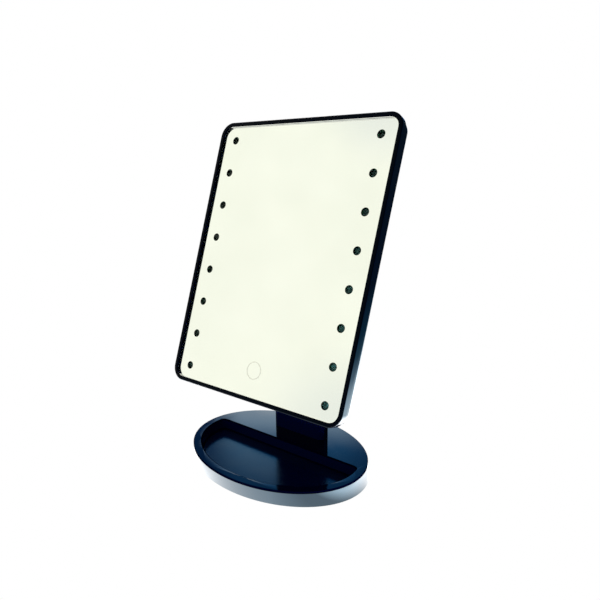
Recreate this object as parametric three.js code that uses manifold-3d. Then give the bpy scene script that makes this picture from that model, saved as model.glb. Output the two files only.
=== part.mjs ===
// Lighted vanity mirror: a tilting mirror head on a flat neck and an oval tray base.
// Millimetres, +Z up. The origin is on the table under the centre of the base.
// The mirror faces -Y and leans back at rest.

import * as THREE from 'three';
import * as BufferGeometryUtils from 'three/addons/utils/BufferGeometryUtils.js';
import Module from 'manifold-3d';

const wasm = await Module();
wasm.setup();

// ---------------------------------------------------------------- driving dimensions

const GAP = 0.3;                  // between separate pieces that lie against each other
const FAR = 400;                  // longer than the object, for cutting tools

// Base
const BASE_TOP = 13.4;            // height of the tray's rim and shelf
const BASE_TOP_OVAL = [80.5, 59.5];     // half length and half depth of the tray's outline
const BASE_FOOT_OVAL = [82.2, 58.2];    // half length and half depth of the band's lower edge
const BAND_FOOT = 0.4;            // height of the band's lower edge
const BAND_WALL = 2.2;
const TRAY_SKIN = 1.8;
const TRAY_BOSS = [2.3, BASE_TOP - 1];
const RIM_WIDTH = 7.2;            // flat rim around the front of the recess
const RECESS_BACK = 9;            // Y of the recess's straight back edge
const RECESS_FLOOR = 3.3;
const RECESS_SKIN = 1.2;
const RECESS_CORNER = 3;
const RECESS_FILLET = 1.1;        // rounding of the recess's upper edge and of its floor
const RECESS_FRONT_STEPS = 64;
const RECESS_CORNER_STEPS = 6;
const PLATE = [0.5, 2];           // closing plate under the base
const PLATE_INSET = [1.4, 1];     // inside the band's wall, along and across
const WEIGHT = [2.3, 8.6];
const WEIGHT_HALF = [40, 11];
const WEIGHT_Y = 27;
const BASE_SCREWS = [[-58, 25], [58, 25], [0, 50]];
const FEET = [[-51, 30], [51, 30], [-45, -34], [45, -34]];
const FOOT_RADIUS = 6;
const FOOT_HEIGHT = 1.4;
const FOOT_POCKET = 1.5;          // height of the pocket's roof in the closing plate

// Neck and hinge
const NECK_HALF_WIDTH = 27.4;
const NECK_RADIUS = 6;            // the neck is this thick each side of its middle
const NECK_Y = 32.9;
const PIVOT_Z = 158.1;
const BARREL_HALF = 19;           // the neck's top, between the bracket's lugs
const SHOULDER_DROP = 11;         // from the pivot down to the neck's shoulders
const SHAFT_RADIUS = 2.5;
const SLEEVE_RADIUS = 4;
const CHANNEL_Z = [20, 140];      // hollow in the neck's back
const CHANNEL_HALF = 21;
const RIB_HEIGHTS = [47, 80, 113];
const NECK_SCREW_X = 15;
const NECK_SCREW_HEAD = [BASE_TOP - TRAY_SKIN - 2.2, BASE_TOP - TRAY_SKIN - 0.1];
const NECK_SCREW_TIP = 18.5;
const LUG = [20.8, 25.6];         // the bracket's lugs, outside the barrel
const LUG_RADIUS = 6.2;
const BRACKET_PLATE = [8.2, 10.4];
const BRACKET_HALF = [27, 11.5];
const BRACKET_SCREW_X = 12;

// Mirror head. In the head's own axes, x runs along its width, y up its face, z out of the glass.
const LEAN = THREE.MathUtils.degToRad(20.26);
const PIVOT_DEPTH = 33.1;         // from the mirror's plane back to the hinge axis
const PANEL_RISE = 0.4;           // the panel's middle is this far above the hinge axis
const PANEL_HALF = [84.3, 109.5];
const PANEL_CORNER = 11.3;
const RIM_FRONT = 1.3;
const RIM_BACK = -4.2;
const RIM_FACE = 3.2;             // width of the rim around the glass
const GLASS = [-1.1, 0.7];
const COATING = [-1.4, -1.2];
const COVER_INSET = 1.4;          // the back cover is this much smaller all round
const COVER_BACK = -12.4;
const LED_COLUMN = 68;
const LED_PITCH = 27.2;
const LEDS_PER_SIDE = 8;
const WINDOW_RADIUS = 3.2;
const TOUCH_Y = -85.7;
const SWITCH_X = -60;
const SWITCH_Y = -45;
const SWITCH_TRAVEL = 4;
const LEDGE_WIDTH = 3;            // carries the mirror's foam tape
const COVER_SCREW_X = 76.5;
const COVER_SCREW_Y = 54.4;

// Screws, all of one kind
const SCREW_HEAD = 2.7;
const SCREW_SHANK = 1.4;
const SCREW_PILOT = 1.55;
const SCREW_HOLE = 1.7;
const SCREW_SINK = 3.1;

// Battery box on the back
const BOX_BACK = -22.4;
const BOX_HALF = [41, 52];
const BOX_Y = 32;
const CELL_RADIUS = 6.95;
const CELL_LENGTH = 50.5;
const CELL_PITCH = 15;
const CELL_Z = -13.5;
const CELL_Y = 47;
const CHAMBER_HALF = [31, 29.5];
const DOOR_LOW = 13.2;
const DOOR_HALF = 34;
const DOOR_INNER = -20.7;

// ---------------------------------------------------------------- materials

const finish = (color, roughness, metalness) =>
  () => new THREE.MeshStandardMaterial({ color, roughness, metalness });

const glossBlack = finish(0x05080f, 0.12, 0);
const mattBlack = finish(0x101214, 0.6, 0);
const mirrorSilver = finish(0xf4f6f0, 0.03, 1);
const clearGlass = finish(0xeef3ee, 0.03, 0);
const steel = finish(0x9fa3a6, 0.35, 1);
const rubber = finish(0x18191a, 0.85, 0);
const boardGreen = finish(0x1d5a38, 0.5, 0);
const ledWhite = finish(0xe6e2c8, 0.4, 0);
const tapeWhite = finish(0xd8d8d2, 0.8, 0);
const cellJacket = finish(0x3a4654, 0.35, 0.2);
const copper = finish(0xb07a4a, 0.4, 1);

// ---------------------------------------------------------------- solids

function toSolid(geometry) {
  const bare = geometry.clone();
  bare.deleteAttribute('normal');
  bare.deleteAttribute('uv');
  const merged = BufferGeometryUtils.mergeVertices(bare, 1e-4);
  return new wasm.Manifold(new wasm.Mesh({
    numProp: 3,
    vertProperties: new Float32Array(merged.attributes.position.array),
    triVerts: new Uint32Array(merged.index.array),
  }));
}

function toGeometry(solid) {
  const mesh = solid.getMesh();
  const geometry = new THREE.BufferGeometry();
  geometry.setAttribute('position', new THREE.BufferAttribute(mesh.vertProperties, 3));
  geometry.setIndex(new THREE.BufferAttribute(mesh.triVerts, 1));
  return geometry;
}

const join = (first, ...others) =>
  toGeometry(others.reduce((sum, other) => sum.add(toSolid(other)), toSolid(first)));

const cut = (first, ...tools) =>
  toGeometry(tools.reduce((rest, tool) => rest.subtract(toSolid(tool)), toSolid(first)));

const overlap = (first, second) => toGeometry(toSolid(first).intersect(toSolid(second)));

// A box between two values on each axis.
function box([x0, x1], [y0, y1], [z0, z1]) {
  return new THREE.BoxGeometry(x1 - x0, y1 - y0, z1 - z0)
    .translate((x0 + x1) / 2, (y0 + y1) / 2, (z0 + z1) / 2);
}

// A cylinder standing on z0 at (x, y).
function post(x, y, radius, [z0, z1], sides = 32) {
  return new THREE.CylinderGeometry(radius, radius, z1 - z0, sides)
    .rotateX(Math.PI / 2)
    .translate(x, y, (z0 + z1) / 2);
}

// A cylinder along X, from x0 to x1, at (y, z).
function axle(y, z, radius, [x0, x1], sides = 32) {
  return new THREE.CylinderGeometry(radius, radius, x1 - x0, sides)
    .rotateZ(Math.PI / 2)
    .translate((x0 + x1) / 2, y, z);
}

// A flat outline between two heights, with rounded upper and lower edges if edge is given.
function slab(shape, [z0, z1], edge = 0, curveSegments = 8, bevelSegments = 3) {
  return new THREE.ExtrudeGeometry(shape, {
    depth: z1 - z0 - 2 * edge,
    bevelEnabled: edge > 0,
    bevelThickness: edge,
    bevelSize: edge,
    bevelOffset: -edge,
    bevelSegments,
    curveSegments,
  }).translate(0, 0, z0 + edge);
}

// A turned body: the profile's points are [radius, z].
function turned(profile, sides = 24) {
  const points = profile.map(([radius, z]) => new THREE.Vector2(radius, z));
  return new THREE.LatheGeometry(points, sides).rotateX(Math.PI / 2);
}

// An oval body: the profile's points are [half length, half depth, z].
function oval(profile, sides = 128) {
  const points = profile.map(([, halfDepth, z]) => new THREE.Vector2(halfDepth, z));
  const geometry = new THREE.LatheGeometry(points, sides).rotateX(Math.PI / 2);
  const position = geometry.attributes.position;
  for (let i = 0; i < position.count; i++) {
    const [halfLength, halfDepth] = profile[i % profile.length];
    if (halfDepth > 0) {
      position.setX(i, position.getX(i) * halfLength / halfDepth);
    }
  }
  return geometry;
}

// A screw standing on its head, which lies between two heights; its shank ends at tip.
function screw([bottom, top], tip) {
  return join(post(0, 0, SCREW_HEAD, [bottom, top], 20), post(0, 0, SCREW_SHANK, [top - 0.5, tip], 16));
}

// ---------------------------------------------------------------- outlines

function roundedRectangle([halfWidth, halfHeight], radius, y = 0) {
  const shape = new THREE.Shape();
  const right = halfWidth - radius;
  const top = halfHeight - radius;
  shape.absarc(right, y + top, radius, 0, Math.PI / 2);
  shape.absarc(-right, y + top, radius, Math.PI / 2, Math.PI);
  shape.absarc(-right, y - top, radius, Math.PI, 1.5 * Math.PI);
  shape.absarc(right, y - top, radius, 1.5 * Math.PI, 2 * Math.PI);
  shape.closePath();
  return shape;
}

const panelOutline = (inset) =>
  roundedRectangle(PANEL_HALF.map((half) => half - inset), PANEL_CORNER - inset);

function addHole(shape, x, y, radius) {
  const hole = new THREE.Path();
  hole.absarc(x, y, radius, 0, 2 * Math.PI, true);
  shape.holes.push(hole);
}

function ovalOutline([halfLength, halfDepth]) {
  const shape = new THREE.Shape();
  shape.absellipse(0, 0, halfLength, halfDepth, 0, 2 * Math.PI);
  return shape;
}

// The neck's section: a flat bar with fully rounded sides.
function neckOutline() {
  const shape = new THREE.Shape();
  const straight = NECK_HALF_WIDTH - NECK_RADIUS;
  shape.absarc(straight, NECK_Y, NECK_RADIUS, -Math.PI / 2, Math.PI / 2);
  shape.absarc(-straight, NECK_Y, NECK_RADIUS, Math.PI / 2, 1.5 * Math.PI);
  shape.closePath();
  return shape;
}

// The recess: the front of an oval, cut off straight at the back, with rounded corners.
function recessOutline(grow) {
  const halfLength = BASE_TOP_OVAL[0] - RIM_WIDTH + grow;
  const halfDepth = BASE_TOP_OVAL[1] - RIM_WIDTH + grow;
  const back = RECESS_BACK + grow;
  const turn = Math.asin((back - RECESS_CORNER) / halfDepth);
  const side = halfLength * Math.cos(turn);
  const flat = side - 2 * RECESS_CORNER;
  const front = new THREE.EllipseCurve(0, 0, halfLength, halfDepth, Math.PI - turn, 2 * Math.PI + turn);
  const corner = new THREE.QuadraticBezierCurve(
    new THREE.Vector2(side, back - RECESS_CORNER),
    new THREE.Vector2(side, back),
    new THREE.Vector2(flat, back),
  );
  const right = corner.getPoints(RECESS_CORNER_STEPS).slice(1);
  const left = right.map(({ x, y }) => new THREE.Vector2(-x, y)).reverse();
  return new THREE.Shape([...front.getPoints(RECESS_FRONT_STEPS), ...right, ...left]);
}

// ---------------------------------------------------------------- scene graph helpers

function piece(group, name, geometry, material, place = [0, 0, 0]) {
  const mesh = new THREE.Mesh(geometry, material());
  mesh.name = name;
  mesh.position.set(...place);
  group.add(mesh);
}

const sideName = (i) => (i === 0 ? 'left' : 'right');

// ---------------------------------------------------------------- base

const BAND_TOP = BASE_TOP - TRAY_SKIN - 0.2;

// The tool that sinks the recess: its floor's edge is rounded, and its mouth flares by the same radius.
function recessTool() {
  const hollow = slab(recessOutline(0), [RECESS_FLOOR, FAR], RECESS_FILLET);
  const flare = new THREE.ExtrudeGeometry(recessOutline(0), {
    depth: 1,
    bevelThickness: RECESS_FILLET,
    bevelSize: -RECESS_FILLET,
    bevelOffset: RECESS_FILLET,
    bevelSegments: 3,
  }).translate(0, 0, BASE_TOP - 1 - RECESS_FILLET + 0.01);
  const lip = box([-FAR, FAR], [-FAR, FAR], [BASE_TOP - RECESS_FILLET, FAR]);
  return join(hollow, overlap(flare, lip));
}

function addBase(group) {
  const tub = slab(recessOutline(1.5), [RECESS_FLOOR - RECESS_SKIN, BASE_TOP - 1]);
  const skin = slab(ovalOutline(BASE_TOP_OVAL), [BASE_TOP - TRAY_SKIN, BASE_TOP], 0.2, 56, 1);
  const bosses = BASE_SCREWS.map(([x, y]) => post(x, y, 3, TRAY_BOSS, 20));
  const pilots = BASE_SCREWS.map(([x, y]) => post(x, y, SCREW_PILOT, [0, 9], 16));
  const neckHoles = [-1, 1].map((s) => post(s * NECK_SCREW_X, NECK_Y, SCREW_HOLE, [0, 20], 20));
  const tray = cut(join(skin, tub, ...bosses), recessTool(), ...pilots, ...neckHoles);
  piece(group, 'base_tray', tray, glossBlack);

  const [topLength, topDepth] = BASE_TOP_OVAL;
  const [footLength, footDepth] = BASE_FOOT_OVAL;
  const band = oval([
    [topLength - BAND_WALL, topDepth - BAND_WALL, BAND_TOP],
    [footLength - BAND_WALL, footDepth - BAND_WALL, BAND_FOOT],
    [footLength, footDepth, BAND_FOOT],
    [topLength, topDepth, BAND_TOP],
    [topLength - BAND_WALL, topDepth - BAND_WALL, BAND_TOP],
  ]);
  piece(group, 'base_band', band, glossBlack);

  const plateOval = BASE_FOOT_OVAL.map((half, i) => half - BAND_WALL - PLATE_INSET[i]);
  const plateHoles = BASE_SCREWS.map(([x, y]) => post(x, y, SCREW_HOLE, [0, 5], 20));
  const pockets = FEET.map(([x, y]) => post(x, y, FOOT_RADIUS + GAP, [0, FOOT_POCKET], 24));
  const plate = cut(slab(ovalOutline(plateOval), PLATE, 0, 40), ...plateHoles, ...pockets);
  piece(group, 'base_plate', plate, mattBlack);

  const weightOutline = roundedRectangle(WEIGHT_HALF, 3, WEIGHT_Y);
  const weightHoles = [-1, 1].map((s) => post(s * NECK_SCREW_X, NECK_Y, 4.5, [0, 20], 20));
  piece(group, 'base_weight', cut(slab(weightOutline, WEIGHT, 0, 5), ...weightHoles), steel);

  FEET.forEach(([x, y], i) => {
    const edge = [[FOOT_RADIUS - 0.3, 0], [FOOT_RADIUS, 0.3], [FOOT_RADIUS, FOOT_HEIGHT]];
    const pad = turned([[0, 0], ...edge, [0, FOOT_HEIGHT]]);
    piece(group, `foot_${i + 1}`, pad, rubber, [x, y, 0]);
  });
}

// ---------------------------------------------------------------- neck

function addNeck(group) {
  const bar = slab(neckOutline(), [BASE_TOP + 0.1, PIVOT_Z - SHOULDER_DROP], 0, 24);
  const barrel = axle(NECK_Y, PIVOT_Z, NECK_RADIUS, [-BARREL_HALF, BARREL_HALF], 64);
  const stem = box(
    [-BARREL_HALF, BARREL_HALF],
    [NECK_Y - NECK_RADIUS, NECK_Y + NECK_RADIUS],
    [PIVOT_Z - SHOULDER_DROP - 4, PIVOT_Z],
  );
  const channel = box([-CHANNEL_HALF, CHANNEL_HALF], [NECK_Y - 2.6, NECK_Y + FAR], CHANNEL_Z);
  const bore = axle(NECK_Y, PIVOT_Z, SLEEVE_RADIUS + 0.1, [-FAR, FAR], 32);
  const pilots = [-1, 1].map((s) =>
    post(s * NECK_SCREW_X, NECK_Y, SCREW_PILOT, [0, NECK_SCREW_TIP + 0.5], 16));
  const ribs = RIB_HEIGHTS.map((z) =>
    box([-CHANNEL_HALF - 1, CHANNEL_HALF + 1], [NECK_Y - 3, NECK_Y - 0.6], [z - 1, z + 1]));
  const body = join(cut(join(bar, barrel, stem), channel, bore, ...pilots), ...ribs);
  piece(group, 'neck_body', body, glossBlack);

  const coverHalf = [CHANNEL_HALF - GAP, (CHANNEL_Z[1] - CHANNEL_Z[0]) / 2 - GAP];
  const coverScrewY = coverHalf[1] - 6;
  const cover = roundedRectangle(coverHalf, 0.5);
  addHole(cover, 0, coverScrewY, 1.6);
  addHole(cover, 0, -coverScrewY, 1.6);
  const middle = [0, NECK_Y, (CHANNEL_Z[0] + CHANNEL_Z[1]) / 2];
  piece(group, 'neck_back', slab(cover, [-5.9, -4.1], 0, 6).rotateX(Math.PI / 2), glossBlack, middle);

  [-1, 1].forEach((s, i) => {
    const place = [s * NECK_SCREW_X, NECK_Y, 0];
    piece(group, `neck_screw_${sideName(i)}`, screw(NECK_SCREW_HEAD, NECK_SCREW_TIP), steel, place);
  });

  [-1, 1].forEach((s, i) => {
    const inner = SHAFT_RADIUS + 0.1;
    const flange = SLEEVE_RADIUS + 1.5;
    const sleeve = turned([
      [SLEEVE_RADIUS, 5.5], [SLEEVE_RADIUS, 19.3], [flange, 19.3], [flange, 20.5],
      [inner, 20.5], [inner, 5.5], [SLEEVE_RADIUS, 5.5],
    ], 32);
    const place = [0, NECK_Y, PIVOT_Z];
    piece(group, `friction_sleeve_${sideName(i)}`, sleeve.rotateY(s * Math.PI / 2), copper, place);
  });
}

// ---------------------------------------------------------------- hinge, in the head's axes

function lugOutline() {
  const shape = new THREE.Shape();
  const root = BRACKET_HALF[1] - 2;
  shape.moveTo(root, BRACKET_PLATE[1] - 1);
  shape.lineTo(LUG_RADIUS, 0);
  shape.absarc(0, 0, LUG_RADIUS, 0, -Math.PI, true);
  shape.lineTo(-root, BRACKET_PLATE[1] - 1);
  shape.closePath();
  return shape;
}

// Turns an outline drawn in (y, z) and extruded along z into one extruded along x.
const acrossX = new THREE.Matrix4().makeBasis(
  new THREE.Vector3(0, 1, 0),
  new THREE.Vector3(0, 0, 1),
  new THREE.Vector3(1, 0, 0),
);

function addHinge(head) {
  const plate = slab(roundedRectangle(BRACKET_HALF, 3), BRACKET_PLATE, 0, 5);
  const lugs = [[-LUG[1], -LUG[0]], LUG].map((span) =>
    slab(lugOutline(), span, 0, 12).applyMatrix4(acrossX));
  const bore = axle(0, 0, SHAFT_RADIUS + 0.1, [-FAR, FAR], 32);
  const pockets = [-1, 1].map((s) => axle(0, 0, 4.3, s < 0 ? [-FAR, -23.4] : [23.4, FAR], 24));
  const screwHoles = [-1, 1].map((s) => post(s * BRACKET_SCREW_X, 0, SCREW_HOLE, [0, FAR], 20));
  const sinks = [-1, 1].map((s) => post(s * BRACKET_SCREW_X, 0, SCREW_SINK, [0, 9.6], 24));
  const bracket = cut(join(plate, ...lugs), bore, ...pockets, ...screwHoles, ...sinks);
  piece(head, 'hinge_bracket', bracket, mattBlack);

  const shaft = turned([
    [0, -24.9], [3.9, -24.9], [3.9, -23.6], [SHAFT_RADIUS, -23.6], [SHAFT_RADIUS, 24.6], [0, 24.6],
  ], 32);
  piece(head, 'hinge_shaft', shaft.rotateY(Math.PI / 2), steel);
  const nut = new THREE.CylinderGeometry(4, 4, 1.2, 6).rotateZ(Math.PI / 2).translate(24.3, 0, 0);
  piece(head, 'hinge_nut', cut(nut, axle(0, 0, SHAFT_RADIUS + 0.1, [20, 30], 32)), steel);

  [-1, 1].forEach((s, i) => {
    const cap = turned([[0, 25.8], [5.6, 25.8], [5.6, 26.3], [5.2, 26.7], [0, 26.7]], 32);
    piece(head, `hinge_cap_${sideName(i)}`, cap.rotateY(s * Math.PI / 2), glossBlack);
    piece(head, `bracket_screw_${sideName(i)}`, screw([8.4, 9.5], 15), steel, [s * BRACKET_SCREW_X, 0, 0]);
  });
}

// ---------------------------------------------------------------- mirror panel, in the panel's axes

const ledHeights = Array.from({ length: LEDS_PER_SIDE }, (_, row) =>
  (row - (LEDS_PER_SIDE - 1) / 2) * LED_PITCH - PANEL_RISE);
const coverScrews = [[-1, 1], [1, 1], [-1, -1], [1, -1]].map(([sx, sy]) => [
  sx * COVER_SCREW_X,
  sy * COVER_SCREW_Y,
]);

// The span from one distance to another, on the side of the middle that x lies on.
const reach = (x, near, far) => (x < 0 ? [-far, -near] : [near, far]);

function addWindows(shape, radius) {
  for (const y of ledHeights) {
    addHole(shape, -LED_COLUMN, y, radius);
    addHole(shape, LED_COLUMN, y, radius);
  }
}

function addFrameAndMirror(panel) {
  const block = slab(panelOutline(0), [RIM_BACK - 3, RIM_FRONT], 0.9, 12);
  const trim = box([-FAR, FAR], [-FAR, FAR], [-FAR, RIM_BACK]);
  const seat = slab(panelOutline(RIM_FACE), [GLASS[0] - 0.9, FAR], 0, 12);
  const opening = slab(panelOutline(RIM_FACE + LEDGE_WIDTH), [-FAR, FAR], 0, 6);
  const lugs = coverScrews.map(([x, y]) => box(reach(x, 74, 80), [y - 3.4, y + 3.4], [-6.4, -2.2]));
  const pilots = coverScrews.map(([x, y]) => post(x, y, SCREW_PILOT, [-10, -3], 16));
  const ring = cut(block, trim, seat, opening);
  piece(panel, 'front_frame', cut(join(ring, ...lugs), ...pilots), glossBlack);

  piece(panel, 'mirror_glass', slab(panelOutline(RIM_FACE + 0.25), GLASS, 0.2, 12, 1), clearGlass);

  const coating = panelOutline(RIM_FACE + 0.25);
  addWindows(coating, WINDOW_RADIUS);
  piece(panel, 'mirror_coating', slab(coating, COATING, 0, 12), mirrorSilver);

  const tape = panelOutline(RIM_FACE + 0.5);
  tape.holes.push(panelOutline(RIM_FACE + LEDGE_WIDTH - 0.4));
  piece(panel, 'mirror_tape', slab(tape, [-1.9, -1.5], 0, 5), tapeWhite);

  const support = panelOutline(RIM_FACE + LEDGE_WIDTH + 0.4);
  addWindows(support, 4);
  addHole(support, 0, TOUCH_Y, 7.4);
  const notches = coverScrews.map(([x, y]) => box(reach(x, 73.7, 80), [y - 3.8, y + 3.8], [-FAR, FAR]));
  piece(panel, 'mirror_support', cut(slab(support, [-3.9, -1.6], 0, 7), ...notches), mattBlack);
}

function addLights(panel) {
  [-1, 1].forEach((s, i) => {
    const strip = box([-4.6, 4.6], [-101, 101], [-5.6, -4.2]);
    piece(panel, `led_strip_${sideName(i)}`, strip, boardGreen, [s * (LED_COLUMN - 0.4), 0, 0]);
    ledHeights.forEach((y, row) => {
      const led = join(box([-2.5, 2.5], [-2.5, 2.5], [-4.1, -2.8]), post(0, 0, 2, [-3, -2.5], 20));
      piece(panel, `led_${sideName(i)}_${row + 1}`, led, ledWhite, [s * LED_COLUMN, y, 0]);
    });
  });
}

function addControls(panel) {
  const board = box([-22, 22], [TOUCH_Y - 12, TOUCH_Y + 12], [-7.2, -5.8]);
  piece(panel, 'control_board', board, boardGreen);
  const electrode = turned([[6.6, -5.6], [6.6, -1.7], [5.9, -1.7], [5.9, -5.6], [6.6, -5.6]]);
  piece(panel, 'touch_electrode', electrode, copper, [0, TOUCH_Y, 0]);
  const body = box([-4.5, 4.5], [-8, 8], [-10.3, -6.3]);
  piece(panel, 'switch_body', body, mattBlack, [SWITCH_X, SWITCH_Y, 0]);
  const grips = [-1, 0, 1].map((row) => box([-2, 2], [row * 1.2 - 0.3, row * 1.2 + 0.3], [-13.8, -13]));
  const slider = join(box([-2, 2], [-2, 2], [-13.4, -10.5]), ...grips);
  piece(panel, 'switch_slider', slider, mattBlack, [SWITCH_X, SWITCH_Y - SWITCH_TRAVEL / 2, 0]);
}

// ---------------------------------------------------------------- back cover and battery box

const boxOutline = (inset, corner) =>
  roundedRectangle(BOX_HALF.map((half) => half - inset), corner, BOX_Y);

function boxBlock() {
  return slab(boxOutline(0, 9), [BOX_BACK, -8], 2.4, 8);
}

function addBackCover(panel) {
  const dish = slab(panelOutline(COVER_INSET), [COVER_BACK, 8], 3, 10);
  const front = box([-FAR, FAR], [-FAR, FAR], [RIM_BACK - GAP, FAR]);
  const dishInside = slab(panelOutline(COVER_INSET + 1.8), [COVER_BACK + 1.8, 20], 1.5, 6, 1);
  const boxInside = slab(boxOutline(3, 7), [-19.2, -8], 0, 4);
  const shell = cut(join(dish, boxBlock()), front, dishInside, boxInside);

  const [chamberX, chamberY] = CHAMBER_HALF;
  const bracketX = [-BRACKET_SCREW_X, BRACKET_SCREW_X];
  const chamberSpan = [CELL_Y - chamberY, CELL_Y + chamberY];
  const wallSpan = [chamberSpan[0] - 2, chamberSpan[1] + 2];
  const walls = box([-chamberX - 2, chamberX + 2], wallSpan, [-20.4, -4.9]);
  const bosses = coverScrews.map(([x, y]) => post(x, y, 4.2, [-11, -6.7], 16));
  const bracketBosses = bracketX.map((x) => post(x, -PANEL_RISE, 3.4, [-20, -15], 20));
  const chamber = box([-chamberX, chamberX], chamberSpan, [-FAR, -6.3]);
  const doorway = box([-DOOR_HALF - GAP, DOOR_HALF + GAP], [DOOR_LOW - GAP, FAR], [-FAR, -20.4]);
  const grooves = box([-DOOR_HALF - 1.6, DOOR_HALF + 1.6], [DOOR_LOW - GAP, FAR], [-21.8, -20.6]);
  const sinks = coverScrews.map(([x, y]) => post(x, y, SCREW_SINK, [-FAR, -9.2], 20));
  const screwHoles = coverScrews.map(([x, y]) => post(x, y, SCREW_HOLE, [-FAR, 0], 12));
  const bracketHoles = bracketX.map((x) => post(x, -PANEL_RISE, SCREW_PILOT, [-FAR, -16.5], 16));
  const slot = box([SWITCH_X - 2.5, SWITCH_X + 2.5], [SWITCH_Y - 5, SWITCH_Y + 5], [-FAR, -9]);
  const cover = cut(
    join(shell, walls, ...bosses, ...bracketBosses),
    chamber, doorway, grooves, slot, ...sinks, ...screwHoles, ...bracketHoles,
  );
  piece(panel, 'back_cover', cover, glossBlack);

  const across = box([-2, 2], [-0.35, 0.35], [-12, -10.3]);
  const along = box([-0.35, 0.35], [-2, 2], [-12, -10.3]);
  coverScrews.forEach(([x, y], i) => {
    const crossHead = cut(screw([-11, -9.3], -3.3), across, along);
    piece(panel, `cover_screw_${i + 1}`, crossHead, steel, [x, y, 0]);
  });
}

function addBatteryBox(panel) {
  const plate = overlap(boxBlock(), box([-DOOR_HALF, DOOR_HALF], [DOOR_LOW, FAR], [-FAR, DOOR_INNER]));
  const tongueSpan = [DOOR_LOW + 0.5, BOX_Y + BOX_HALF[1] - 9];
  const tongues = box([-DOOR_HALF - 1.3, DOOR_HALF + 1.3], tongueSpan, [-21.6, -20.9]);
  const ridges = [28, 30.4, 32.8, 35.2].map((y) => box([-12, 12], [y, y + 1.2], [-22.9, -22]));
  piece(panel, 'battery_door', join(plate, tongues, ...ridges), glossBlack);

  const half = CELL_LENGTH / 2;
  for (let i = 0; i < 4; i++) {
    const cell = turned([
      [0, -half], [6.3, -half], [CELL_RADIUS, 0.6 - half], [CELL_RADIUS, half - 2],
      [6.3, half - 1.4], [2.7, half - 1.4], [2.7, half], [0, half],
    ], 28);
    const upright = cell.rotateX(i % 2 === 0 ? -Math.PI / 2 : Math.PI / 2);
    piece(panel, `battery_${i + 1}`, upright, cellJacket, [(i - 1.5) * CELL_PITCH, CELL_Y, CELL_Z]);
  }

  [-1, 1].forEach((s, i) => {
    const inner = CHAMBER_HALF[1] - 0.2;
    const strip = box([-30, 30], [inner - 0.5, inner], [-19, -8]);
    const bumps = [0, 1, 2, 3].map((n) =>
      turned([[0, -0.2], [3.4, -0.2], [2.2, 3.3], [0, 3.3]], 20)
        .rotateX(Math.PI / 2)
        .translate((n - 1.5) * CELL_PITCH, inner - 0.5, CELL_Z));
    const contact = join(strip, ...bumps).rotateZ(s > 0 ? 0 : Math.PI);
    piece(panel, s > 0 ? 'battery_contact_upper' : 'battery_contact_lower', contact, steel, [0, CELL_Y, 0]);
  });
}

// ---------------------------------------------------------------- assembly

const vanityMirror = new THREE.Group();
addBase(vanityMirror);
addNeck(vanityMirror);

const head = new THREE.Group();
head.position.set(0, NECK_Y, PIVOT_Z);
head.rotation.x = Math.PI / 2 - LEAN;
vanityMirror.add(head);
addHinge(head);

const panel = new THREE.Group();
panel.position.set(0, PANEL_RISE, PIVOT_DEPTH);
head.add(panel);
addFrameAndMirror(panel);
addLights(panel);
addControls(panel);
addBackCover(panel);
addBatteryBox(panel);

export default vanityMirror;
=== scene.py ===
"""Looks for the lighted vanity mirror: materials, small fittings, floor, studio light and camera.

Metres, +Z up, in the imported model's frame. Sizes written with MM are in millimetres.
"""

from math import cos, pi, radians, sin

import bmesh
import bpy
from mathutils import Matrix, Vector


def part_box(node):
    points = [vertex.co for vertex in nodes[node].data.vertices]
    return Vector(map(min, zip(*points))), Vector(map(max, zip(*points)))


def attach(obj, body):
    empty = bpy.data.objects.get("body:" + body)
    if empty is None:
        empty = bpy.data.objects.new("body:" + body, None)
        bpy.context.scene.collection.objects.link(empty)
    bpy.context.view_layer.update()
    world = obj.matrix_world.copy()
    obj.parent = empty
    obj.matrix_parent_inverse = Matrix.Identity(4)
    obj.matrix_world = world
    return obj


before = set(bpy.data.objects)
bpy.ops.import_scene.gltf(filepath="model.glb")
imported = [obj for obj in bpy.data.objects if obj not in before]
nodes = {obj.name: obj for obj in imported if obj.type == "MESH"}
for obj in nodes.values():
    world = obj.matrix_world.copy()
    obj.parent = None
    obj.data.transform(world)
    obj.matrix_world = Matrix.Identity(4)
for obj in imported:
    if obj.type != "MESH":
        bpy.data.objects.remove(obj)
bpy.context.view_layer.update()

MM = 0.001
scene = bpy.context.scene

# At rest the head leans back by LEAN, and OUT is the way that its glass faces.
LEAN = radians(20.26)
OUT = Vector((0, -cos(LEAN), sin(LEAN)))
TRAY_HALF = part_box("base_tray")[1]
TRAY_TOP = TRAY_HALF.z

DIM = (0.002, 0.008, 0.06)      # the unlit part of the room


# ---------------------------------------------------------------- smooth shading on faceted solids

SMOOTH_ANGLE = radians(34)
WELD_GAP = 0.004 * MM


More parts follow.
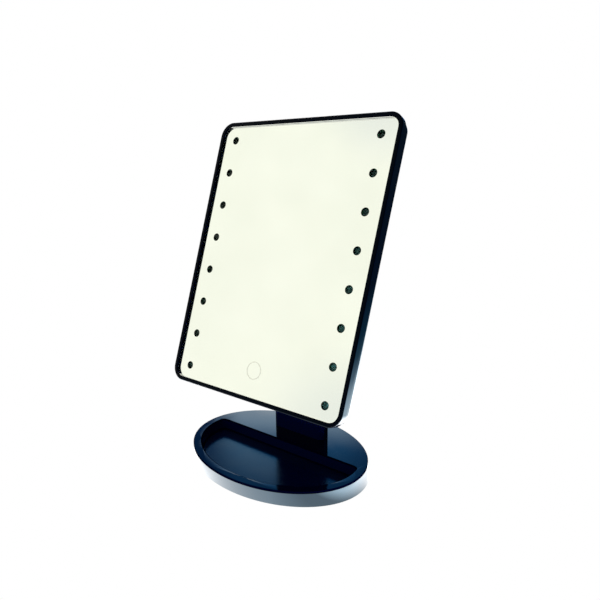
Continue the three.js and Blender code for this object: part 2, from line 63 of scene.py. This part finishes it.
def smoothing_group():
    """Welds a node's split vertices and shades it smooth, with edges sharper than SMOOTH_ANGLE kept."""
    group = bpy.data.node_groups.new("smooth_by_angle", "GeometryNodeTree")
    group.interface.new_socket("Geometry", in_out="INPUT", socket_type="NodeSocketGeometry")
    group.interface.new_socket("Geometry", in_out="OUTPUT", socket_type="NodeSocketGeometry")
    make, link = group.nodes.new, group.links.new
    start = make("NodeGroupInput")
    weld = make("GeometryNodeMergeByDistance")
    weld.inputs["Distance"].default_value = WELD_GAP
    free = make("GeometryNodeSetMeshNormal")
    faces = make("GeometryNodeSetShadeSmooth")
    faces.domain = "FACE"
    angle = make("GeometryNodeInputMeshEdgeAngle")
    sharp = make("FunctionNodeCompare")
    sharp.operation = "GREATER_THAN"
    sharp.inputs["B"].default_value = SMOOTH_ANGLE
    edges = make("GeometryNodeSetShadeSmooth")
    edges.domain = "EDGE"
    edges.inputs["Shade Smooth"].default_value = False
    end = make("NodeGroupOutput")
    link(start.outputs[0], weld.inputs[0])
    link(weld.outputs[0], free.inputs[0])
    link(free.outputs[0], faces.inputs[0])
    link(faces.outputs[0], edges.inputs[0])
    link(angle.outputs["Unsigned Angle"], sharp.inputs["A"])
    link(sharp.outputs[0], edges.inputs["Selection"])
    link(edges.outputs[0], end.inputs[0])
    return group


def smooth(objects):
    """Smooth shading that large flat faces win, so a fillet doesn't bend the reflection beside it."""
    group = smoothing_group()
    for item in objects:
        modifier = item.modifiers.new("smooth_by_angle", "NODES")
        modifier.node_group = group
        flatten = item.modifiers.new("flat_faces_win", "WEIGHTED_NORMAL")
        flatten.mode = "FACE_AREA"
        flatten.weight = 100
        flatten.keep_sharp = True


# ---------------------------------------------------------------- material building blocks

class Look:
    """A procedural material: one Principled shader, and short calls that add the nodes that feed it."""

    def __init__(self, name, **settings):
        self.material = bpy.data.materials.new(name)
        self.material.use_nodes = True
        self.tree = self.material.node_tree
        self.shader = self.tree.nodes["Principled BSDF"]
        self.place = self.add("ShaderNodeTexCoord").outputs["Object"]
        for socket, value in settings.items():
            self.shader.inputs[socket.replace("_", " ")].default_value = value

    def add(self, kind, **settings):
        node = self.tree.nodes.new(kind)
        for name, value in settings.items():
            setattr(node, name, value)
        return node

    def link(self, output, target):
        self.tree.links.new(output, target)

    def stretched(self, scale):
        mapping = self.add("ShaderNodeMapping")
        mapping.inputs["Scale"].default_value = scale
        self.link(self.place, mapping.inputs["Vector"])
        return mapping.outputs["Vector"]

    def noise(self, scale, detail=3, place=None, distortion=0):
        node = self.add("ShaderNodeTexNoise")
        node.inputs["Scale"].default_value = scale
        node.inputs["Detail"].default_value = detail
        node.inputs["Distortion"].default_value = distortion
        self.link(place or self.place, node.inputs["Vector"])
        return node.outputs["Fac"]

    def spread(self, value, low, high, start=0.3, stop=0.7):
        """value from start to stop, as low to high."""
        node = self.add("ShaderNodeMapRange")
        for name, number in (("From Min", start), ("From Max", stop), ("To Min", low), ("To Max", high)):
            node.inputs[name].default_value = number
        self.link(value, node.inputs["Value"])
        return node.outputs["Result"]

    def sum(self, first, second):
        node = self.add("ShaderNodeMath", operation="ADD")
        self.link(first, node.inputs[0])
        self.link(second, node.inputs[1])
        return node.outputs[0]

    def blend(self, factor, first, second):
        node = self.add("ShaderNodeMix", data_type="RGBA")
        self.link(factor, node.inputs["Factor"])
        for socket, colour in ((node.inputs["A"], first), (node.inputs["B"], second)):
            if isinstance(colour, tuple):
                socket.default_value = (*colour, 1)
            else:
                self.link(colour, socket)
        return node.outputs["Result"]

    def colour(self, output):
        self.link(output, self.shader.inputs["Base Color"])

    def roughness(self, output):
        self.link(output, self.shader.inputs["Roughness"])

    def bump(self, height, depth, strength=1):
        """height, from 0 to 1, raised by depth metres."""
        node = self.add("ShaderNodeBump")
        node.inputs["Distance"].default_value = depth
        node.inputs["Strength"].default_value = strength
        self.link(height, node.inputs["Height"])
        self.link(node.outputs["Normal"], self.shader.inputs["Normal"])


def paint(look, names):
    """Gives look to the whole of each named node."""
    for name in names:
        nodes[name].data.materials.clear()
        nodes[name].data.materials.append(look.material)


def paint_where(look, name, test):
    """Gives look to the faces of a painted node that pass the test."""
    mesh = nodes[name].data
    mesh.materials.append(look.material)
    for face in mesh.polygons:
        if test(face):
            face.material_index = len(mesh.materials) - 1


# ---------------------------------------------------------------- materials

def gloss_plastic(name, tint, level, rough, blue=0.005):
    """Polished black moulding: a deep colour, finger smears in the gloss, hairlines and a faint ripple.

    tint and level set the reflection, rough the roughness where it is clean, and blue the blue of the base
    colour, which paints in the blue cast that the black moulding shows in its shade.
    """
    look = Look(name, Specular_Tint=(*tint, 1), Specular_IOR_Level=level)
    # clean and dusty both carry blue, a painted blue cast of shade; the dust flecks on top of it are real.
    clean = (0.0001, 0.05 * blue, blue)
    dusty = (0.0006, 0.1 * blue, 1.8 * blue)
    dust = look.spread(look.noise(900, 4), 0, 1, 0.62, 0.8)
    look.colour(look.blend(dust, clean, dusty))
    smear = look.spread(look.noise(34, 4, distortion=0.8), 0, 0.04)
    hairline = look.spread(look.noise(60, 2, look.stretched((1, 26, 1))), 0, 0.03, 0.55, 0.75)
    grime = look.sum(smear, hairline)
    base = look.add("ShaderNodeMath", operation="ADD")
    base.inputs[1].default_value = rough
    look.link(grime, base.inputs[0])
    look.roughness(base.outputs[0])
    look.bump(look.noise(420, 3), 0.004 * MM, 0.6)
    return look


def matt_plastic(name, colour):
    """Spark-eroded moulding: a fine grain that catches the light."""
    look = Look(name)
    shade = look.spread(look.noise(60, 3), 0, 1)
    lighter = tuple(min(1, 1.5 * part + 0.004) for part in colour)
    look.colour(look.blend(shade, colour, lighter))
    look.roughness(look.spread(look.noise(300, 3), 0.47, 0.65))
    look.bump(look.noise(2600, 2), 0.03 * MM, 0.7)
    return look


def rubber(name, colour):
    """Soft black rubber, rubbed grey in places."""
    look = Look(name)
    worn = look.spread(look.noise(180, 4), 0, 1, 0.5, 0.75)
    look.colour(look.blend(worn, colour, tuple(part + 0.03 for part in colour)))
    look.roughness(look.spread(look.noise(700, 2), 0.7, 0.92))
    look.bump(look.noise(1500, 3), 0.05 * MM, 0.6)
    return look


def plated_steel(name, colour, direction):
    """Zinc plating: brushed along one direction, with a mottled bloom."""
    look = Look(name, Metallic=1.0)
    bloom = look.spread(look.noise(120, 4), 0, 1, 0.4, 0.7)
    look.colour(look.blend(bloom, colour, tuple(0.72 * part for part in colour)))
    grain = look.noise(220, 3, look.stretched(direction))
    look.roughness(look.spread(grain, 0.2, 0.42))
    look.bump(grain, 0.01 * MM, 0.5)
    return look


def circuit_board(name):
    """Solder mask with faint tracks under it."""
    look = Look(name)
    tracks = look.add("ShaderNodeTexBrick")
    tracks.inputs["Scale"].default_value = 420
    tracks.inputs["Mortar Size"].default_value = 0.05
    tracks.inputs["Color1"].default_value = (0.010, 0.075, 0.030, 1)
    tracks.inputs["Color2"].default_value = (0.014, 0.095, 0.040, 1)
    tracks.inputs["Mortar"].default_value = (0.03, 0.17, 0.07, 1)
    look.link(look.place, tracks.inputs["Vector"])
    look.colour(tracks.outputs["Color"])
    look.roughness(look.spread(look.noise(400, 2), 0.25, 0.4))
    look.bump(tracks.outputs["Fac"], 0.02 * MM, 0.4)
    return look


def light_emitter(name):
    """An unlit LED in smoked resin: dark teal with a fine grain, and painted light that makes it lighter
    towards the head's lower right.
    """
    look = Look(name, Specular_IOR_Level=0.1)
    painted_light_slope = look.add("ShaderNodeVectorMath", operation="DOT_PRODUCT")
    painted_light_slope.inputs[1].default_value = (-1.2, 0, 1)
    look.link(look.place, painted_light_slope.inputs[0])
    # lower grows towards the head's lower right, where light is painted onto the LEDs.
    lower = look.spread(painted_light_slope.outputs["Value"], 1, 0, -0.02, 0.2)
    speck = look.spread(look.noise(1600, 2), 0, 1)
    # dark is the resin in painted shade; clear is the same resin with painted light on it.
    dark = look.blend(lower, (0.002, 0.006, 0.004), (0.014, 0.060, 0.062))
    clear = look.blend(lower, (0.004, 0.009, 0.006), (0.030, 0.095, 0.100))
    look.colour(look.blend(look.spread(speck, 0.4, 1.0, 0.0, 1.0), dark, clear))
    look.roughness(look.spread(look.noise(900, 2), 0.35, 0.5))
    return look


CHIPPED_BAND = 1.1 * MM


def silvering(name):
    """The mirror's coating: a little warmer than the room, slightly uneven, and chipped along its sides."""
    look = Look(name, Metallic=1.0)
    cloud = look.spread(look.noise(13, 5, distortion=0.6), 0, 1, 0.35, 0.75)
    silver = look.blend(cloud, (0.985, 0.99, 0.975), (0.955, 0.965, 0.95))
    sideways = look.add("ShaderNodeVectorMath", operation="ABSOLUTE")
    look.link(look.place, sideways.inputs[0])
    across = look.add("ShaderNodeSeparateXYZ")
    look.link(sideways.outputs[0], across.inputs[0])
    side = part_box("mirror_coating")[1].x
    near_side = look.spread(across.outputs["X"], 0, 1, side - CHIPPED_BAND, side)
    chip = look.spread(look.sum(near_side, look.noise(900, 4)), 0, 1, 0.95, 1.05)
    look.colour(look.blend(chip, silver, (0.012, 0.014, 0.013)))
    look.roughness(look.spread(look.noise(40, 3), 0.0, 0.012))
    return look


def plate_glass(name):
    """Float glass with a faint haze of finger marks. Its IOR is low, so that the windows show clearly."""
    look = Look(name, Transmission_Weight=1.0, IOR=1.1, Base_Color=(0.985, 1, 0.99, 1),
                Specular_Tint=(0.35, 0.95, 0.9, 1))
    look.roughness(look.spread(look.noise(46, 4, distortion=1.2), 0, 0.012, 0.5, 0.8))
    return look


def frosted_mark(name):
    """The etched ring of the touch switch: bright metal with a fine grain."""
    look = Look(name, Metallic=1.0)
    etch = look.spread(look.noise(3000, 2), 0, 1)
    look.colour(look.blend(etch, (0.78, 0.78, 0.75), (0.86, 0.86, 0.82)))
    look.roughness(look.spread(look.noise(2000, 2), 0.08, 0.2))
    return look


def foam_tape(name):
    """White foam with open cells."""
    look = Look(name, Specular_IOR_Level=0.2)
    cells = look.add("ShaderNodeTexVoronoi")
    cells.inputs["Scale"].default_value = 2200
    look.link(look.place, cells.inputs["Vector"])
    look.colour(look.blend(cells.outputs["Distance"], (0.78, 0.78, 0.74), (0.55, 0.55, 0.52)))
    look.roughness(look.spread(look.noise(600, 2), 0.8, 0.95))
    look.bump(cells.outputs["Distance"], 0.06 * MM, 0.8)
    return look


def cell_jacket(name):
    """A plain dark film, shrunk on with faint wrinkles."""
    look = Look(name, Specular_IOR_Level=0.6)
    shade = look.spread(look.noise(90, 3), 0, 1)
    look.colour(look.blend(shade, (0.025, 0.035, 0.05), (0.05, 0.06, 0.08)))
    look.roughness(look.spread(look.noise(220, 3), 0.22, 0.36))
    look.bump(look.noise(150, 3, look.stretched((1, 0.25, 0.25))), 0.05 * MM, 0.5)
    return look


# ---------------------------------------------------------------- small fittings

def new_piece(name, mesh_maker, look, body):
    """Makes a mesh object from a bmesh that mesh_maker fills, and lets it ride on a body."""
    mesh = bpy.data.meshes.new(name)
    shape = bmesh.new()
    mesh_maker(shape)
    bmesh.ops.recalc_face_normals(shape, faces=shape.faces)
    shape.to_mesh(mesh)
    shape.free()
    item = bpy.data.objects.new(name, mesh)
    scene.collection.objects.link(item)
    mesh.materials.append(look.material)
    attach(item, body)


LOBE = 0.45                     # how far a lobed ring swings from its radius, as a part of it


def lathe(shape, profile, origin, axis, sides=48, lobed=()):
    """Turns (radius, height) points about axis through origin. Points on the axis close the ends.

    The rings whose numbers are in lobed are drawn out into a cross.
    """
    side = axis.orthogonal().normalized()
    other = axis.cross(side)
    rings = []
    for number, (radius, height) in enumerate(profile):
        centre = origin + axis * height
        if radius == 0:
            rings.append([shape.verts.new(centre)] * sides)
            continue
        ring = []
        for step in range(sides):
            turn = 2 * pi * step / sides
            reach = radius * (1 + LOBE * cos(4 * turn)) if number in lobed else radius
            ring.append(shape.verts.new(centre + side * reach * cos(turn) + other * reach * sin(turn)))
        rings.append(ring)
    for low, high in zip(rings, rings[1:]):
        for step in range(sides):
            corners = [low[step - 1], low[step], high[step], high[step - 1]]
            shape.faces.new(list(dict.fromkeys(corners)))


def add_touch_ring(look):
    """A thin etched ring behind the glass, over the touch electrode."""
    low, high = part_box("touch_electrode")
    middle = (low + high) / 2
    coating = max(vertex.co.dot(OUT) for vertex in nodes["mirror_coating"].data.vertices)
    mid, half, thick = 6.6 * MM, 0.42 * MM, 0.03 * MM
    centre = middle + OUT * (coating + thick - middle.dot(OUT))
    profile = [(mid - half, 0), (mid - half, thick), (mid, 1.6 * thick), (mid + half, thick),
               (mid + half, 0), (mid - half, 0)]

    def turn_ring(shape):
        lathe(shape, profile, centre, OUT, 72)

    new_piece("touch_ring", turn_ring, look, "mirror_head")


# Of a screw head's profile, the points on the cross recess's top and bottom edges.
CROSS_RINGS = (8, 9)

# Along x and y from the base's middle.
BASE_SCREW_PLACES = ((-58 * MM, 25 * MM), (58 * MM, 25 * MM), (0, 50 * MM))


def add_screw(name, seat, out, look, head, rise, depth, shank=1.3 * MM):
    """A cross-head screw of the stand. Its head, of radius head and height rise, sits at seat and faces out.

    Its shank, of radius shank, reaches depth into the part.
    """
    profile = [(0, -depth), (0.6 * shank, -depth), (shank, -depth + shank), (shank, 0), (head, 0),
               (head, 0.4 * rise), (0.85 * head, 0.85 * rise), (0.6 * head, rise), (0.38 * head, rise),
               (0.26 * head, 0.3 * rise), (0, 0.2 * rise)]

    def turn_screw(shape):
        lathe(shape, profile, seat, out, lobed=CROSS_RINGS)

    new_piece(name, turn_screw, look, "stand")


def add_screws(look):
    """The screws that hold the closing plate under the base, and the cover on the neck's back."""
    down = Vector((0, 0, -1))
    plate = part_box("base_plate")[0].z
    for number, (x, y) in enumerate(BASE_SCREW_PLACES, 1):
        seat = Vector((x, y, plate))
        add_screw(f"base_screw_{number}", seat, down, look, head=3 * MM, rise=0.4 * MM, depth=6 * MM)
    back = Vector((0, 1, 0))
    inset = 6 * MM
    low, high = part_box("neck_back")
    for end, z in (("lower", low.z + inset), ("upper", high.z - inset)):
        seat = Vector((0, high.y, z))
        add_screw(f"neck_cover_screw_{end}", seat, back, look, head=2.6 * MM, rise=1 * MM, depth=3 * MM)


# ---------------------------------------------------------------- studio

class Graph:
    """Short calls for a node tree of the studio: the floor's or the world's."""

    def __init__(self, tree):
        self.tree = tree
        tree.nodes.clear()

    def add(self, kind, **settings):
        node = self.tree.nodes.new(kind)
        for name, value in settings.items():
            setattr(node, name, value)
        return node

    def feed(self, socket, value):
        if isinstance(value, tuple):
            socket.default_value = (*value, 1) if len(socket.default_value) == 4 else value
        elif isinstance(value, (int, float)):
            socket.default_value = value
        else:
            self.tree.links.new(value, socket)

    def maths(self, operation, first, second=0.0):
        node = self.add("ShaderNodeMath", operation=operation)
        self.feed(node.inputs[0], first)
        self.feed(node.inputs[1], second)
        return node.outputs[0]

    def fade(self, value, start, stop, at_start=1.0, at_stop=0.0):
        """at_start up to start, then smoothly to at_stop, from stop on."""
        node = self.add("ShaderNodeMapRange", interpolation_type="SMOOTHSTEP")
        limits = {"From Min": start, "From Max": stop, "To Min": at_start, "To Max": at_stop}
        for name, number in limits.items():
            node.inputs[name].default_value = number
        self.feed(node.inputs["Value"], value)
        return node.outputs["Result"]

    def ramp(self, value, stops):
        """The colour of the stops, pairs of a value and a colour, at value."""
        low, high = stops[0][0], stops[-1][0]
        node = self.add("ShaderNodeValToRGB")
        elements = node.color_ramp.elements
        while len(elements) < len(stops):
            elements.new(0.5)
        for element, (place, _) in zip(elements, stops):
            element.position = (place - low) / (high - low)
        for element, (_, colour) in zip(elements, stops):
            element.color = (*colour, 1)
        scaled = self.maths("DIVIDE", self.maths("SUBTRACT", value, low), high - low)
        self.feed(node.inputs["Fac"], scaled)
        return node.outputs["Color"]

    def over(self, factor, below, above, blend="MIX"):
        node = self.add("ShaderNodeMix", data_type="RGBA", blend_type=blend)
        self.feed(node.inputs["Factor"], factor)
        self.feed(node.inputs["A"], below)
        self.feed(node.inputs["B"], above)
        return node.outputs["Result"]

    def finish(self, surface, output):
        """Shows surface in reflections and as light, and plain white where the picture sees it directly."""
        choose = self.add("ShaderNodeMixShader")
        self.feed(choose.inputs["Fac"], self.add("ShaderNodeLightPath").outputs["Is Camera Ray"])
        self.feed(choose.inputs[1], surface)
        self.feed(choose.inputs[2], self.add("ShaderNodeEmission").outputs[0])
        self.feed(self.add(output).inputs["Surface"], choose.outputs[0])


FLOOR_DROP = 0.2 * MM           # keeps the floor clear of the feet


def add_floor():
    """A white table top that glows with painted light: a pool of light round the base with painted shadows
    beside it, overexposed past its right side, dark further away.
    """
    bpy.ops.mesh.primitive_circle_add(vertices=96, radius=12, fill_type="NGON", location=(0, 0, -FLOOR_DROP))
    floor = bpy.context.object
    floor.name = "floor"
    material = bpy.data.materials.new("white_table")
    material.use_nodes = True
    graph = Graph(material.node_tree)
    place = graph.add("ShaderNodeTexCoord").outputs["Object"]
    length = graph.add("ShaderNodeVectorMath", operation="LENGTH")
    graph.feed(length.inputs[0], place)
    distance = length.outputs["Value"]
    along = graph.add("ShaderNodeSeparateXYZ")
    graph.feed(along.inputs[0], place)

    # Round the base: a painted pool of light, bright in the middle, with painted shadows that make it dimmer
    # to either side, and overexposed past the right.
    left, middle, right, overexposed = 1.8, 5.5, 3.4, 12.0
    levels = [(-0.085, left), (-0.03, middle), (0.035, middle), (0.065, right), (0.08, right),
              (0.1, overexposed)]
    near = graph.ramp(along.outputs["X"], [(x, (level, level, level)) for x, level in levels])

    # Further out: a glow that turns blue as it dies away into the dim room.
    glow = graph.ramp(distance, [(0.15, (4.5, 5.0, 5.2)), (0.22, (2.8, 3.5, 3.9)), (0.29, (0.7, 1.1, 1.4)),
                                 (0.36, (0.15, 0.4, 0.55)), (0.45, (0.04, 0.18, 0.3)),
                                 (0.8, (0.02, 0.05, 0.08))])

    # In front: cream, which the mirror shows to anyone who looks at it from above.
    outer = graph.over(graph.fade(along.outputs["Y"], -0.1, 0.05), glow, (0.96, 0.96, 0.9))
    outer = graph.over(graph.fade(distance, 0.2, 0.3), outer, glow)

    light = graph.add("ShaderNodeEmission")
    graph.feed(light.inputs["Color"], graph.over(graph.fade(distance, 0.11, 0.2), outer, near))
    graph.finish(light.outputs[0], "ShaderNodeOutputMaterial")
    floor.data.materials.append(material)


def add_world():
    """A dim blue room, with a cream card round the front and the front left and a window at the back left.

    Directions are in degrees: azimuth 0 is +Y and 90 is -X, and elevation 0 is level.
    """
    world = bpy.data.worlds.new("studio")
    scene.world = world
    world.use_nodes = True
    graph = Graph(world.node_tree)
    direction = graph.add("ShaderNodeTexCoord").outputs["Generated"]
    parts = graph.add("ShaderNodeSeparateXYZ")
    graph.feed(parts.inputs[0], direction)
    x, y, z = parts.outputs
    azimuth = graph.maths("DEGREES", graph.maths("ARCTAN2", graph.maths("MULTIPLY", x, -1.0), y))
    elevation = graph.maths("DEGREES", graph.maths("ARCSINE", z))

    def angle_from(middle_azimuth, middle_elevation):
        turn, rise = radians(middle_azimuth), radians(middle_elevation)
        node = graph.add("ShaderNodeVectorMath", operation="DOT_PRODUCT")
        graph.feed(node.inputs[0], direction)
        node.inputs[1].default_value = (-sin(turn) * cos(rise), cos(turn) * cos(rise), sin(rise))
        return graph.maths("DEGREES", graph.maths("ARCCOSINE", node.outputs["Value"]))

    # The window is white at its foot, and goes through blue as it fades upward.
    heights = [(20, (2.4, 2.4, 2.4)), (27, (1.4, 1.9, 2.4)), (30, (0.1, 0.5, 1.1)), (36, (0.0, 0.08, 0.3)),
               (44, DIM)]
    window = graph.ramp(elevation, heights)
    left_edge = graph.fade(azimuth, 44.0, 48.5)
    right_edge = graph.fade(azimuth, 25.5, 33.0, 0.0, 1.0)
    sides = graph.maths("MULTIPLY", left_edge, right_edge)

    # A blue haze hangs low. It fades out to the left of the window, and is greyer at the back right.
    haze = graph.over(graph.fade(elevation, 30.0, 44.0), DIM, (0.02, 0.12, 0.36))
    haze = graph.over(graph.fade(azimuth, 52.0, 80.0), DIM, haze)
    back_right = graph.fade(angle_from(-27, 0), 30.0, 50.0)
    haze = graph.over(back_right, haze, (0.025, 0.055, 0.085))
    room = graph.over(sides, haze, window)

    # A warm lamp shows in the window's foot.
    core = graph.fade(angle_from(40, 21), 2.0, 5.5)
    room = graph.over(core, room, (4.0, 3.2, 2.6), "ADD")

    # The card is clouded, with two greyer patches.
    cloud = graph.add("ShaderNodeTexNoise")
    cloud.inputs["Scale"].default_value = 9
    cloud.inputs["Detail"].default_value = 4
    graph.feed(cloud.inputs["Vector"], direction)
    card = graph.over(cloud.outputs["Fac"], (1.04, 1.03, 0.92), (0.93, 0.93, 0.81))
    for patch, start, stop in (((152, 7), 2.0, 11.0), ((141, 42), 2.0, 8.0)):
        card = graph.over(graph.fade(angle_from(*patch), start, stop), card, (0.86, 0.87, 0.81))
    front_left = graph.fade(angle_from(137, 23), 32.0, 48.0)
    front = graph.fade(angle_from(185, 25), 28.0, 44.0)
    sky = graph.over(graph.maths("MAXIMUM", front_left, front), room, card)

    background = graph.add("ShaderNodeBackground")
    graph.feed(background.inputs["Color"], sky)
    graph.finish(background.outputs[0], "ShaderNodeOutputWorld")


def add_softbox(name, place, target, size, power):
    """A rectangular light of size metres at place, turned to target, which the picture doesn't show."""
    light = bpy.data.lights.new(name, "AREA")
    light.shape = "RECTANGLE"
    light.size, light.size_y = size
    light.energy = power
    item = bpy.data.objects.new(name, light)
    item.location = place
    item.rotation_euler = (Vector(target) - Vector(place)).to_track_quat("-Z", "Y").to_euler()
    item.visible_camera = False
    scene.collection.objects.link(item)


def add_camera():
    """A camera at the object's right front, looking down and to the left."""
    down, left = radians(17.33), radians(35.79)
    lens = bpy.data.cameras.new("camera")
    lens.sensor_width = 36
    lens.lens = 31.04
    lens.shift_x = -0.0177
    lens.shift_y = 0.0575
    lens.clip_start = 0.01
    lens.clip_end = 50
    item = bpy.data.objects.new("camera", lens)
    item.location = (0.25049, -0.30007, 0.23294)
    item.rotation_euler = (pi / 2 - down, 0, left)
    scene.collection.objects.link(item)
    scene.camera = item


# ---------------------------------------------------------------- which faces take a look of their own

FACING = 0.5                    # a face faces a way if its normal goes further along it than this
LEVEL = 0.97                    # a level face's normal rises further than this
UPRIGHT = 0.2                   # and an upright face's no further than this
RECESS_DEPTH = 8 * MM           # the recess's floor is further below the tray's top than this
RECESS_REACH = 0.92             # (x / half width)^2 + (y / half depth)^2 is less than this in the recess


def faces_out(face):
    return face.normal.dot(OUT) > FACING


def faces_the_glass(face):
    """The frame's inner step, whose faces look sideways to the glass."""
    low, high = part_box("mirror_glass")
    inward = (low + high) / 2 - face.center
    return abs(face.normal.dot(OUT)) < FACING and face.normal.dot(inward) > 0


def is_recess_floor(face):
    return face.normal.z > LEVEL and face.center.z < TRAY_TOP - RECESS_DEPTH


def is_not_level(face):
    return face.normal.z <= LEVEL


def is_recess_wall(face):
    place = face.center
    reach = (place.x / TRAY_HALF.x) ** 2 + (place.y / TRAY_HALF.y) ** 2
    return abs(face.normal.z) <= UPRIGHT and reach < RECESS_REACH


def faces_front(face):
    return face.normal.y < -FACING


# ---------------------------------------------------------------- the scene

smooth(nodes.values())

gloss = gloss_plastic("gloss_black", (0.55, 0.82, 1.0), 0.5, 0.03)
rim = gloss_plastic("rim_black", (0.3, 0.6, 1.0), 0.05, 0.12, 0.0012)
# deep: the black plastic with over four times the blue in its base colour, a painted navy shade for the
# recess walls and the neck's front.
deep = gloss_plastic("painted_shade_navy_black", (0.3, 0.6, 1.0), 0.05, 0.12, 0.022)
shell = gloss_plastic("shell_black", (0.55, 0.82, 1.0), 0.3, 0.05)
edge = gloss_plastic("edge_black", (0.3, 0.6, 1.0), 0.0, 0.3)
# satin: the recess floor shows its real, blue-tinted reflection of the window, and its base colour, with
# nearly three times the blue, adds a painted teal glow.
satin = gloss_plastic("satin_painted_glow_black", (0.0, 0.75, 1.0), 0.6, 0.15, 0.014)
screw = plated_steel("zinc_plate", (0.62, 0.63, 0.65), (1, 1, 9))
copper = plated_steel("bronze", (0.62, 0.34, 0.16), (9, 1, 1))
matt = matt_plastic("matt_black", (0.012, 0.0125, 0.014))

glossy = ["base_tray", "base_band", "neck_body", "neck_back", "hinge_cap_left", "hinge_cap_right",
          "front_frame"]
lamps = [name for name in nodes if name.startswith("led_") and "strip" not in name]
screws = [name for name in nodes if "_screw_" in name]
contacts = ["battery_contact_upper", "battery_contact_lower"]
paint(gloss, glossy)
paint(shell, ["back_cover", "battery_door"])
paint_where(rim, "front_frame", faces_out)
paint_where(edge, "front_frame", faces_the_glass)
# The recess floor takes satin, whose base colour paints part of its teal glow.
paint_where(satin, "base_tray", is_recess_floor)
paint_where(edge, "base_tray", is_not_level)
# The recess walls and the neck's front take deep's painted navy shade.
paint_where(deep, "base_tray", is_recess_wall)
paint_where(deep, "neck_body", faces_front)
paint(matt, ["mirror_support", "switch_body", "switch_slider", "hinge_bracket", "base_plate"])
paint(rubber("foot_rubber", (0.012, 0.012, 0.013)), [f"foot_{i}" for i in range(1, 5)])
paint(screw, [*screws, "hinge_shaft", "hinge_nut", *contacts, "base_weight"])
paint(copper, ["touch_electrode", "friction_sleeve_left", "friction_sleeve_right"])
paint(circuit_board("solder_mask"), ["led_strip_left", "led_strip_right", "control_board"])
paint(light_emitter("phosphor"), lamps)
paint(silvering("silvering"), ["mirror_coating"])
paint(plate_glass("float_glass"), ["mirror_glass"])
paint(foam_tape("foam_tape"), ["mirror_tape"])
paint(cell_jacket("cell_film"), [f"battery_{i}" for i in range(1, 5)])

add_touch_ring(frosted_mark("etched_ring"))
add_screws(screw)

add_floor()
add_world()
add_softbox("overhead", (-0.4, 0.5, 1.5), (0, 0, 0.1), (1.2, 0.9), 6)
add_camera()
scene.view_settings.view_transform = "Standard"
